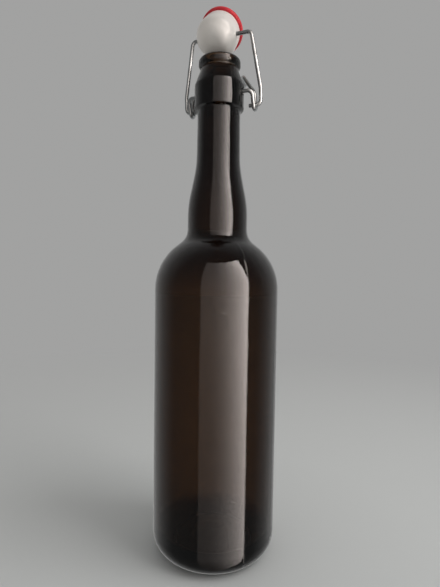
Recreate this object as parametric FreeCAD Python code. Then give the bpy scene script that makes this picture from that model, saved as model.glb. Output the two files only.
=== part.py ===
import FreeCAD, Part
import math
import os
from FreeCAD import Vector

os.makedirs("parts", exist_ok=True)

# Driving dimensions of the glass bottle, in millimetres, degrees for angles.
bottle_height = 319.0
body_radius = 40.0
heel_radius = 14.0
punt_radius = 23.5
punt_height = 9.0
punt_slope_radius = 14.0
punt_slope_height = 7.0
punt_bend_radius = 14.0
punt_edge_fillet = 1.5
base_thickness = 6.0
body_wall = 3.4
shoulder_corner_height = 190.5
shoulder_radius = 36.0
neck_root_radius = 19.3
neck_root_height = 205.5
neck_root_fillet = 11.0
neck_root_top = 226.0
neck_radius = 14.1
neck_start_height = 251.5
neck_bend_radius = 68.0
neck_top_radius = 13.7
neck_wall = 4.4
band_radius = 15.9
band_below_pivot = 10.0
band_above_pivot = 4.5
band_edge_fillet = 1.0
band_crown_fillet = 5.0
lip_radius = 13.5
lip_height = 5.2
lip_waist_radius = 11.8
lip_waist_height = 0.7
lip_waist_fillet = 0.5
lip_round = 2.3
mouth_radius = 8.5
mouth_round = 1.2

# Driving dimensions of the wires.
wire_radius = 1.25
wire_bend_radius = 3.0
running_clearance = 0.08
end_gap = 0.3
dimple_depth = 3.5
dimple_flare_radius = 2.6
dimple_flare_depth = 1.4
pivot_below_lip = 21.5
eye_leg_length = 9.2
eye_leg_angle = -65.0
eye_plane_x = 22.0
hook_reach = 3.7
lever_bend_radius = 5.0
arm_bend_radius = 8.0
arm_stand_off = 4.0
arm_straight = 10.0
yoke_bar_half = 20.0
bar_behind = 2.0
over_centre_angle = 8.0
lever_knee_x = 10.5
lever_knee_back = 14.5
lever_knee_up = 16.0
lever_return = 9.5
thumb_back = 30.0
thumb_up = 15.0
thumb_half = 8.0
thumb_bend_radius = 6.0

# Driving dimensions of the stopper and its gasket.
head_radius = 13.6
head_side_height = 2.5
head_shoulder_radius = 8.0
head_shoulder_height = 10.5
head_crown_height = 11.2
head_round = 9.0
flange_radius = 12.9
flange_fillet = 0.8
nose_radius = 6.0
nose_bead_radius = 7.2
nose_bead_height = 1.8
gasket_radius = 14.2
gasket_thickness = 3.6
gasket_edge_fillet = 1.2
flange_below_bar = 9.6
seal_gap = 0.3
gasket_fit = 0.05
stopper_rest_angle = 225.0
stopper_rest_shift = -3.0

# Levels and places worked out from the driving dimensions.
pivot_z = bottle_height - pivot_below_lip
band_top = pivot_z + band_above_pivot
band_bottom = pivot_z - band_below_pivot
hole_radius = wire_radius + running_clearance
eye_radius = wire_radius + hole_radius
pin_end_x = band_radius - dimple_depth + end_gap
seal_below_bar = flange_below_bar + gasket_thickness
shortest_run = 1e-6


def rounded_edges(corners):
    """Lines joined by tangent arcs through corners given as (point, radius)."""
    points = [corner[0] for corner in corners]
    wanted = [0.0]
    for before, (corner, radius), after in zip(points, corners[1:-1], points[2:]):
        inward = (before - corner).normalize()
        outward = (after - corner).normalize()
        half_turn = (math.pi - inward.getAngle(outward)) / 2
        wanted.append(radius * math.tan(half_turn))
    wanted.append(0.0)
    shares = [1.0] * len(points)
    for index in range(len(points) - 1):
        run = (points[index + 1] - points[index]).Length
        taken = wanted[index] + wanted[index + 1]
        if taken > run:
            shares[index] = min(shares[index], run / taken)
            shares[index + 1] = min(shares[index + 1], run / taken)
    cuts = [cut * share for cut, share in zip(wanted, shares)]
    edges = []
    start = points[0]
    for index in range(1, len(points)):
        corner = points[index]
        back = (points[index - 1] - corner).normalize()
        entry = corner + back * cuts[index]
        if (entry - start).Length > shortest_run:
            edges.append(Part.LineSegment(start, entry).toShape())
        start = entry
        if cuts[index] > 0:
            ahead = (points[index + 1] - corner).normalize()
            leave = corner + ahead * cuts[index]
            half_angle = back.getAngle(ahead) / 2
            bisector = (back + ahead).normalize()
            radius = cuts[index] * math.tan(half_angle)
            middle = corner + bisector * (cuts[index] / math.cos(half_angle) - radius)
            edges.append(Part.Arc(entry, middle, leave).toShape())
            start = leave
    return edges


def revolved(corners):
    """Solid of revolution about Z of a closed outline of (radius, height, fillet)."""
    outline = [(Vector(r, 0, z), fillet) for r, z, fillet in corners]
    edges = rounded_edges(outline)
    closing = Part.LineSegment(outline[-1][0], outline[0][0]).toShape()
    face = Part.Face(Part.Wire(edges + [closing]))
    return face.revolve(Vector(0, 0, 0), Vector(0, 0, 1), 360)


def wire_solid(edges):
    """Round wire swept along a path of tangent lines and arcs."""
    path = Part.Wire(edges)
    start = edges[0].Curve.value(edges[0].FirstParameter)
    heading = edges[0].tangentAt(edges[0].FirstParameter)
    section = Part.Wire(Part.makeCircle(wire_radius, start, heading))
    solid = path.makePipeShell([section], True, False)
    ideal = math.pi * wire_radius ** 2 * path.Length
    print("wire volume ratio", round(solid.Volume / ideal, 4), "length", round(path.Length, 1))
    return solid


def glass_bottle():
    """Blown bottle in one outline, outside then inside, with a dimple each side of the band."""
    waist_z = bottle_height - lip_height
    inside_floor = punt_height + base_thickness
    inside_body = body_radius - body_wall
    inside_root = neck_root_radius - neck_wall
    bottle = revolved([
        (0, punt_height, 0),
        (punt_slope_radius, punt_slope_height, punt_bend_radius),
        (punt_radius, 0, punt_edge_fillet),
        (body_radius, 0, heel_radius),
        (body_radius, shoulder_corner_height, shoulder_radius),
        (neck_root_radius, neck_root_height, neck_root_fillet),
        (neck_root_radius, neck_root_top, neck_bend_radius),
        (neck_radius, neck_start_height, neck_bend_radius),
        (neck_top_radius, band_bottom - band_edge_fillet, band_edge_fillet),
        (band_radius, band_bottom, band_edge_fillet),
        (band_radius, band_top, band_crown_fillet),
        (lip_waist_radius, waist_z - lip_waist_height, lip_waist_fillet),
        (lip_radius, waist_z, lip_round),
        (lip_radius, bottle_height, lip_round),
        (mouth_radius, bottle_height, mouth_round),
        (mouth_radius, neck_start_height, neck_bend_radius),
        (inside_root, neck_root_top, neck_bend_radius),
        (inside_root, neck_root_height - body_wall, neck_root_fillet),
        (inside_body, shoulder_corner_height - body_wall, shoulder_radius - body_wall),
        (inside_body, base_thickness, heel_radius - body_wall),
        (punt_slope_radius, inside_floor - punt_height + punt_slope_height, punt_bend_radius),
        (0, inside_floor, 0),
    ])
    for side in (-1, 1):
        outward = Vector(side, 0, 0)
        bottom = Vector(side * (band_radius - dimple_depth), 0, pivot_z)
        hole = Part.makeCylinder(hole_radius, 2 * dimple_depth, bottom, outward)
        flare_at = Vector(side * (band_radius - dimple_flare_depth), 0, pivot_z)
        flare = Part.makeCone(hole_radius, 2 * dimple_flare_radius - hole_radius,
                              2 * dimple_flare_depth, flare_at, outward)
        bottle = bottle.cut(hole).cut(flare)
    return bottle


# The eye of the lever lies beside its leg, and the yoke hooks into the eye.
pivot = Vector(0, 0, pivot_z)
leg_turn = math.radians(eye_leg_angle)
leg_way = Vector(0, math.cos(leg_turn), math.sin(leg_turn))
leg_side = Vector(0, -math.sin(leg_turn), math.cos(leg_turn))
eye_arm = leg_way * eye_leg_length + leg_side * eye_radius
eye = pivot + eye_arm

# Closed, the eye is past the lowest point and the gasket lies on the lip.
closed_turn = math.radians(-90 - over_centre_angle)
closed_eye = pivot + Vector(0, math.cos(closed_turn), math.sin(closed_turn)) * eye_arm.Length
closed_bar = Vector(0, 0, bottle_height + seal_gap + seal_below_bar)
yoke_length = (closed_bar - closed_eye).Length
bar_rise = math.sqrt(yoke_length ** 2 - (eye.y - bar_behind) ** 2)
bar = Vector(0, bar_behind, eye.z + bar_rise)


def both_sides(half):
    """Path corners of a wire that is alike on both sides of the bottle."""
    mirrored = [(Vector(-point.x, point.y, point.z), radius) for point, radius in half]
    return mirrored + half[::-1]


def lever_wire():
    """Lever: a pin in each dimple, an eye for the yoke, and a cranked thumb loop."""
    tip = eye_leg_length + eye_radius
    side = Vector(eye_plane_x, 0, 0) + pivot
    outer_leg = leg_side * (2 * eye_radius)
    half = [
        (Vector(pin_end_x, 0, 0) + pivot, 0),
        (side, wire_bend_radius),
        (side + leg_way * tip, eye_radius),
        (side + leg_way * tip + outer_leg, eye_radius),
        (side + leg_way * (tip - lever_return) + outer_leg, lever_bend_radius),
        (Vector(lever_knee_x, lever_knee_back, lever_knee_up) + pivot, lever_bend_radius),
        (Vector(thumb_half, thumb_back, thumb_up) + pivot, thumb_bend_radius),
    ]
    return wire_solid(rounded_edges(both_sides(half)))


def yoke_wire():
    """Yoke: a bar through the stopper, two arms, and hooked ends in the lever's eyes."""
    arm_x = eye_plane_x + arm_stand_off
    upward = (bar - eye).normalize()
    half = [
        (Vector(eye_plane_x - hook_reach, 0, 0) + eye, 0),
        (Vector(arm_x, 0, 0) + eye, wire_bend_radius),
        (Vector(arm_x, 0, 0) + eye + upward * arm_straight, arm_bend_radius),
        (Vector(yoke_bar_half, 0, 0) + bar, wire_bend_radius),
    ]
    return wire_solid(rounded_edges(both_sides(half)))


def at_bar(shape):
    """Tip a closure piece, made upright about the bar, into its open place."""
    shape.rotate(Vector(0, 0, 0), Vector(1, 0, 0), stopper_rest_angle - 90)
    shape.translate(bar + Vector(stopper_rest_shift, 0, 0))
    return shape


def stopper_head():
    """Porcelain head with a nose for the gasket and a cross bore for the bar."""
    nose_end = -seal_below_bar - nose_bead_height
    head = revolved([
        (0, nose_end, 0),
        (nose_bead_radius, nose_end, nose_bead_height / 2),
        (nose_bead_radius, -seal_below_bar, 0),
        (nose_radius, -seal_below_bar, 0),
        (nose_radius, -flange_below_bar, 0),
        (flange_radius, -flange_below_bar, flange_fillet),
        (head_radius, head_side_height, head_round),
        (head_shoulder_radius, head_shoulder_height, head_round),
        (0, head_crown_height, 0),
    ])
    bore_start = Vector(-2 * head_radius, 0, 0)
    bore = Part.makeCylinder(hole_radius, 4 * head_radius, bore_start, Vector(1, 0, 0))
    return at_bar(head.cut(bore))


def gasket():
    """Red rubber ring held on the nose, against the flange of the head."""
    inner = nose_radius + gasket_fit
    return at_bar(revolved([
        (inner, -flange_below_bar, 0),
        (gasket_radius, -flange_below_bar, gasket_edge_fillet),
        (gasket_radius, -seal_below_bar, gasket_edge_fillet),
        (inner, -seal_below_bar, 0),
    ]))


pieces = {
    "glass_bottle": glass_bottle(),
    "lever_wire": lever_wire(),
    "yoke_wire": yoke_wire(),
    "stopper_head": stopper_head(),
    "gasket": gasket(),
}
for name, shape in pieces.items():
    shape.exportStep(f"parts/{name}.step")
    print(name, "solids", len(shape.Solids), "valid", shape.isValid(), "volume", round(shape.Volume))
print("pivot", pivot, "eye", eye, "bar", bar, "yoke length", round(yoke_length, 2))
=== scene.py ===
# %% [markdown]
# A swing top bottle in dark amber glass, with its wire closure open.
# The construction comes in ready made as a fixed frame: every solid already lies at its
# real place, in metres, and rides on the body that moves it. This lesson only dresses
# those solids, lights them and sets the camera where the picture was taken from.

# %% Load the frame
import math

import bpy
from mathutils import Matrix, Vector

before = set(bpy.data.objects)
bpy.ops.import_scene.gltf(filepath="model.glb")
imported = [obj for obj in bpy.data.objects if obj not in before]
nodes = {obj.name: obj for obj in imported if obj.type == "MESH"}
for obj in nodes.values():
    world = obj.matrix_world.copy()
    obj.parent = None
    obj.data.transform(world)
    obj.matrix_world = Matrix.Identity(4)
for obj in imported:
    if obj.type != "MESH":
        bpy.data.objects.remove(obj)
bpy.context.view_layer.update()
print("pieces in the frame:", sorted(nodes))


# %% [markdown]
# Shader maths reads best as sums. A small class wraps one output socket of a node tree,
# and the usual operators add Math nodes to it. Everything that isn't plain arithmetic,
# such as a noise or a bump, comes from a single method of the finish it belongs to.

# %% Sockets that can be added and multiplied
class Value:
    """One number over a surface, joined to others by Python's operators."""

    def __init__(self, finish, socket):
        self.finish = finish
        self.socket = socket

    def math(self, operation, first, second):
        settings = {"operation": operation}
        return self.finish.node("ShaderNodeMath", settings, {0: first, 1: second})

    def __add__(self, other):
        return self.math("ADD", self, other)

    def __sub__(self, other):
        return self.math("SUBTRACT", self, other)

    def __rsub__(self, other):
        return self.math("SUBTRACT", other, self)

    def __mul__(self, other):
        return self.math("MULTIPLY", self, other)

    def __lt__(self, other):
        return self.math("LESS_THAN", self, other)

    __radd__ = __add__
    __rmul__ = __mul__


class Nodes:
    """A node tree, of a material or of the world, that grows by one method."""

    def __init__(self, tree):
        self.tree = tree

    def node(self, kind, settings=None, inputs=None, output=0):
        """Add a node: its settings first, then the values or links of its sockets."""
        node = self.tree.nodes.new(kind)
        for name, value in (settings or {}).items():
            if name == "stops":
                self.set_stops(node.color_ramp, value)
            else:
                setattr(node, name, value)
        for socket, value in (inputs or {}).items():
            self.feed(node.inputs[socket], value)
        return Value(self, node.outputs[output])

    def set_stops(self, ramp, stops):
        while len(ramp.elements) < len(stops):
            ramp.elements.new(1.0)
        for element, (place, colour) in zip(ramp.elements, stops):
            element.position = place
            element.color = (*colour, 1.0)

    def feed(self, socket, value):
        if isinstance(value, Value):
            self.tree.links.new(value.socket, socket)
        else:
            socket.default_value = value

    def along(self, way, axis):
        """Share of a direction that runs along an axis."""
        settings = {"operation": "DOT_PRODUCT"}
        return self.node("ShaderNodeVectorMath", settings, {0: way, 1: axis}, output="Value")

    def ramp(self, factor, start, end):
        """Number that climbs from 0 to 1 while the factor goes from start to end."""
        inputs = {"Value": factor, "From Min": start, "From Max": end}
        return self.node("ShaderNodeMapRange", {"clamp": True}, inputs)


class Finish(Nodes):
    """A material under construction, with its principled shader."""

    def __init__(self, name):
        self.material = bpy.data.materials.new(name)
        self.material.use_nodes = True
        super().__init__(self.material.node_tree)
        self.shader = self.tree.nodes["Principled BSDF"]
        self.output = self.tree.nodes["Material Output"]

    def set(self, **inputs):
        """Values or links of the principled shader, with _ for a space in its names."""
        for name, value in inputs.items():
            self.feed(self.shader.inputs[name.replace("_", " ")], value)
        return self

    def place(self):
        return self.node("ShaderNodeTexCoord", output="Object")

    def stretched(self, x, y, z):
        """Object space squeezed along each axis, for grain that runs one way."""
        return self.node("ShaderNodeMapping", None, {"Vector": self.place(), "Scale": (x, y, z)})

    def noise(self, scale, detail=4.0, where=None):
        inputs = {"Vector": where or self.place(), "Scale": scale, "Detail": detail}
        return self.node("ShaderNodeTexNoise", None, inputs)

    def blend(self, factor, low, high):
        """Colour that goes from low to high as the factor goes from 0 to 1."""
        settings = {"stops": [(0.0, low), (1.0, high)]}
        return self.node("ShaderNodeValToRGB", settings, {"Fac": factor})

    def bump(self, height, depth, strength=1.0):
        inputs = {"Height": height, "Distance": depth, "Strength": strength}
        return self.node("ShaderNodeBump", None, inputs)


def dress(name, finish):
    """Give a solid of the frame its finish."""
    solid = nodes[name]
    solid.data.materials.clear()
    solid.data.materials.append(finish.material)
    print(name, "wears", finish.material.name)


# %% [markdown]
# The bottle is soda glass coloured deep amber. Its colour lies in the depth of the wall, not
# on its skin, so a clear refracting surface holds a volume that absorbs blue and green. The
# skin is polished, with the slow waves, the faint upright streaks and the two fine seams that
# the mould leaves, a film of dried rinse water, and thin level scuffs where bottles rubbed.

# %% Amber glass
GLASS_IOR = 1.52
AMBER = (0.44, 0.29, 0.09, 1.0)
AMBER_DENSITY = 790.0
GLASS_SKIN = (1.0, 0.97, 0.93, 1.0)
STREAK_WAVES = (60.0, 60.0, 5.0)
STREAK_DEPTH = 0.00004
WAVE_SCALE = 16.0
WAVE_DEPTH = 0.00035
SMEAR_SCALE = 45.0
SMEAR_SPAN = (0.52, 0.75)
SCUFF_WAVES = (25.0, 25.0, 700.0)
SCUFF_SPAN = (0.68, 0.74)
WORN_SCALE = 35.0
WORN_SPAN = (0.48, 0.62)
SEAM_TURN = math.radians(51.0)
SEAM_HALF = (0.0002, 0.0008)
SEAM_RISE = 0.00012


def amber_glass():
    glass = Finish("amber_glass")
    streaks = glass.noise(1.0, 3.0, glass.stretched(*STREAK_WAVES))
    waves = glass.noise(WAVE_SCALE, 1.0)
    smears = glass.ramp(glass.noise(SMEAR_SCALE, 6.0), *SMEAR_SPAN)
    scuffs = glass.ramp(glass.noise(1.0, 2.0, glass.stretched(*SCUFF_WAVES)), *SCUFF_SPAN)
    seam_off = glass.along(glass.place(), (math.cos(SEAM_TURN), math.sin(SEAM_TURN), 0.0))
    seam = 1.0 - glass.ramp(seam_off.math("ABSOLUTE", seam_off, 0.0), *SEAM_HALF)
    worn = scuffs * glass.ramp(glass.noise(WORN_SCALE, 3.0), *WORN_SPAN)
    glass.set(Base_Color=GLASS_SKIN, Transmission_Weight=1.0, IOR=GLASS_IOR)
    glass.set(Roughness=0.02 + 0.02 * streaks + 0.05 * smears + 0.22 * worn)
    relief = streaks * STREAK_DEPTH + waves * WAVE_DEPTH + seam * SEAM_RISE
    glass.set(Normal=glass.bump(relief, 1.0))
    depth = glass.node("ShaderNodeVolumeAbsorption", None, {"Color": AMBER, "Density": AMBER_DENSITY})
    glass.feed(glass.output.inputs["Volume"], depth)
    return glass


dress("glass_bottle", amber_glass())


# %% [markdown]
# The lever and the yoke are drawn steel wire with a thin zinc coat. Zinc dulls in darker
# grey blotches, and drawing leaves it slightly rough, so the base colour and the roughness
# follow the same uneven noise.

# %% Galvanised wire
ZINC_BRIGHT = (0.52, 0.54, 0.54)
ZINC_DULL = (0.36, 0.37, 0.37)
ZINC_SPAN = (0.40, 0.68)
DRAWN_SCALE = 2600.0
DRAWN_DEPTH = 0.00001
LEVER_BLOTCHES = 210.0
YOKE_BLOTCHES = 180.0


def zinc_wire(name, blotch_scale):
    zinc = Finish(name)
    blotches = zinc.noise(blotch_scale, 5.0)
    grain = zinc.noise(DRAWN_SCALE, 2.0)
    dulled = zinc.ramp(blotches, *ZINC_SPAN)
    zinc.set(Base_Color=zinc.blend(dulled, ZINC_BRIGHT, ZINC_DULL), Metallic=1.0)
    zinc.set(Roughness=0.27 + 0.13 * dulled)
    zinc.set(Normal=zinc.bump(grain, DRAWN_DEPTH, 0.3))
    return zinc


dress("lever_wire", zinc_wire("lever_zinc", LEVER_BLOTCHES))
dress("yoke_wire", zinc_wire("yoke_zinc", YOKE_BLOTCHES))


# %% [markdown]
# The stopper head is white and glazed, a warm white with a soft sheen. The gasket is a moulded
# red rubber ring: matt, with a fine skin and a faint, paler dusting.

# %% White head and red gasket
WHITE_SHADE = (0.80, 0.745, 0.69)
WHITE_LIGHT = (0.86, 0.81, 0.765)
WHITE_CLOUDS = 90.0
GLAZE_SCALE = 500.0
GLAZE_DEPTH = 0.00003
RED_CLEAN = (0.60, 0.018, 0.03)
RED_DUSTY = (0.64, 0.07, 0.075)
DUST_SCALE = 260.0
DUST_SPAN = (0.55, 0.85)
RUBBER_SCALE = 1500.0
RUBBER_DEPTH = 0.00004


def glazed_white():
    white = Finish("glazed_white")
    clouds = white.noise(WHITE_CLOUDS, 3.0)
    white.set(Base_Color=white.blend(clouds, WHITE_SHADE, WHITE_LIGHT))
    white.set(Roughness=0.30 + 0.12 * clouds, Coat_Weight=0.35, Coat_Roughness=0.15, IOR=1.5)
    white.set(Normal=white.bump(white.noise(GLAZE_SCALE, 2.0), GLAZE_DEPTH, 0.3))
    return white


def red_rubber():
    red = Finish("red_rubber")
    dust = red.ramp(red.noise(DUST_SCALE, 5.0), *DUST_SPAN)
    red.set(Base_Color=red.blend(dust, RED_CLEAN, RED_DUSTY))
    red.set(Roughness=0.48 + 0.2 * dust)
    red.set(Normal=red.bump(red.noise(RUBBER_SCALE, 3.0), RUBBER_DEPTH, 0.5))
    return red


dress("stopper_head", glazed_white())
dress("gasket", red_rubber())


# %% [markdown]
# The camera stood close, about a forearm away, a little above half the height of the bottle.
# Its focal length gives the angle of a phone's main lens. The bottle leans about a degree in
# the picture, which is a roll of the camera, and the pivot line is turned a quarter of a right
# angle, which is the camera's place round the bottle.

# %% Camera
IMAGE_WIDTH = 440
FOCAL_PIXELS = 441.0
SENSOR = 0.036
CAMERA_TURN = math.radians(22.0)
CAMERA_DISTANCE = 0.2895
CAMERA_HEIGHT = 0.1848
CAMERA_PITCH = math.radians(-3.0)
CAMERA_ROLL = math.radians(0.87)
CAMERA_SIDESTEP = 0.0024

rightward = Vector((math.cos(CAMERA_TURN), math.sin(CAMERA_TURN), 0.0))
forward = Vector((-math.sin(CAMERA_TURN), math.cos(CAMERA_TURN), 0.0))


def around(across, ahead, height):
    """Point given as the camera sees it: across to its right, ahead of the bottle's axis."""
    return rightward * across + forward * ahead + Vector((0.0, 0.0, height))


def set_camera():
    data = bpy.data.cameras.new("camera")
    data.sensor_fit = "HORIZONTAL"
    data.sensor_width = SENSOR * 1000
    data.lens = data.sensor_width * FOCAL_PIXELS / IMAGE_WIDTH
    data.clip_start = 0.01
    camera = bpy.data.objects.new("camera", data)
    bpy.context.scene.collection.objects.link(camera)
    turn = Matrix.Rotation(CAMERA_TURN, 4, "Z")
    pitch = Matrix.Rotation(math.pi / 2 + CAMERA_PITCH, 4, "X")
    roll = Matrix.Rotation(CAMERA_ROLL, 4, "Z")
    place = around(CAMERA_SIDESTEP, -CAMERA_DISTANCE, CAMERA_HEIGHT)
    camera.matrix_world = Matrix.Translation(place) @ turn @ pitch @ roll
    bpy.context.scene.camera = camera
    print("camera at", [round(v, 4) for v in place])


set_camera()


# %% [markdown]
# A tall window stands to the right of the camera. Dark glass is a mirror, so it shows
# that window as one upright strip that is brightest at its outer edge and fades towards the
# floor, and the dim side of the room, behind the camera, as near black. Rays that
# come off glossy skins therefore see a room that depends on the direction. All other rays see
# an even grey one. A soft lamp at the window gives the light and the shadow.

# %% Floor, room and light
BACKDROP = 0.36
BACKDROP_TINT = (1.0, 1.0, 0.99, 1.0)
ROOM = 0.43
DIM_SIDE = 0.14
DIM_SPAN = (-0.15, 0.55)
WINDOW_START = math.radians(-29.0)
WINDOW_END = math.radians(61.0)
WINDOW_EDGE = math.radians(3.0)
WINDOW_TOP = math.sin(math.radians(57.0))
WINDOW_FOOT = (-1.0, -0.1)
WINDOW_HAZE = 0.6
WINDOW_PEAK = 9.5
WINDOW_TINT = (1.0, 0.90, 0.85, 1.0)
FLOOR = (0.64, 0.65, 0.64)
FLOOR_SIZE = 6.0
FLOOR_FADE = (0.16, 0.75)
LAMP_PLACE = around(0.80, -0.35, 0.80)
LAMP_AIM = around(0.0, 0.0, 0.2)
LAMP_WIDTH = 0.7
LAMP_HEIGHT = 1.1
LAMP_RADIANCE = 2.6


def add_floor():
    bpy.ops.mesh.primitive_plane_add(size=FLOOR_SIZE)
    floor = bpy.context.object
    floor.name = "floor"
    paper = Finish("floor_paper")
    paper.set(Base_Color=(*FLOOR, 1.0), Roughness=0.9)
    glow = paper.node("ShaderNodeEmission", None, {"Color": BACKDROP_TINT, "Strength": BACKDROP})
    reach = paper.node("ShaderNodeVectorMath", {"operation": "LENGTH"}, {0: paper.place()}, "Value")
    seen = paper.node("ShaderNodeLightPath", output="Is Camera Ray")
    far = paper.ramp(reach, *FLOOR_FADE) * seen
    skin = paper.shader.outputs[0]
    paper.feed(paper.output.inputs["Surface"],
               paper.node("ShaderNodeMixShader", None, {0: far, 1: Value(paper, skin), 2: glow}))
    floor.data.materials.append(paper.material)
    floor.visible_glossy = False


def add_lamp(name, centre, target, width, height, radiance):
    """Area lamp of an even radiance, facing a target."""
    lamp = bpy.data.lights.new(name, "AREA")
    lamp.shape = "RECTANGLE"
    lamp.size = width
    lamp.size_y = height
    lamp.energy = radiance * math.pi * width * height
    panel = bpy.data.objects.new(name, lamp)
    panel.location = centre
    panel.rotation_euler = (target - centre).to_track_quat("-Z", "Y").to_euler()
    panel.visible_camera = False
    panel.visible_glossy = False
    panel.visible_transmission = False
    bpy.context.scene.collection.objects.link(panel)


def set_room():
    world = bpy.data.worlds.new("room")
    bpy.context.scene.world = world
    world.use_nodes = True
    room = Nodes(world.node_tree)
    way = room.node("ShaderNodeTexCoord", output="Generated")
    across, ahead, up = (room.along(way, axis) for axis in (rightward, forward, Vector((0, 0, 1))))
    bearing = across.math("ARCTAN2", across, -1.0 * ahead)
    rise = room.ramp(bearing, WINDOW_START, WINDOW_END)
    inside = room.ramp(bearing, WINDOW_START, WINDOW_START + WINDOW_EDGE) * (bearing < WINDOW_END)
    shown = inside * (up < WINDOW_TOP) * room.ramp(up, *WINDOW_FOOT)
    window = shown * (WINDOW_HAZE + WINDOW_PEAK * rise * rise * rise)
    glossy = room.node("ShaderNodeLightPath", output="Is Glossy Ray")
    walls = ROOM - (ROOM - DIM_SIDE) * (1.0 - room.ramp(ahead, *DIM_SPAN)) * glossy
    plain = room.node("ShaderNodeLightPath", output="Is Camera Ray")
    through = room.node("ShaderNodeLightPath", output="Is Transmission Ray")
    straight = plain.math("MAXIMUM", plain, through)
    level = walls + window * glossy
    background = world.node_tree.nodes["Background"]
    room.feed(background.inputs["Strength"], level + (BACKDROP - level) * straight)
    tint = {"Fac": glossy * inside, "Color1": BACKDROP_TINT, "Color2": WINDOW_TINT}
    room.feed(background.inputs["Color"], room.node("ShaderNodeMixRGB", None, tint))


add_floor()
set_room()
add_lamp("window", LAMP_PLACE, LAMP_AIM, LAMP_WIDTH, LAMP_HEIGHT, LAMP_RADIANCE)
bpy.context.scene.view_settings.view_transform = "Standard"
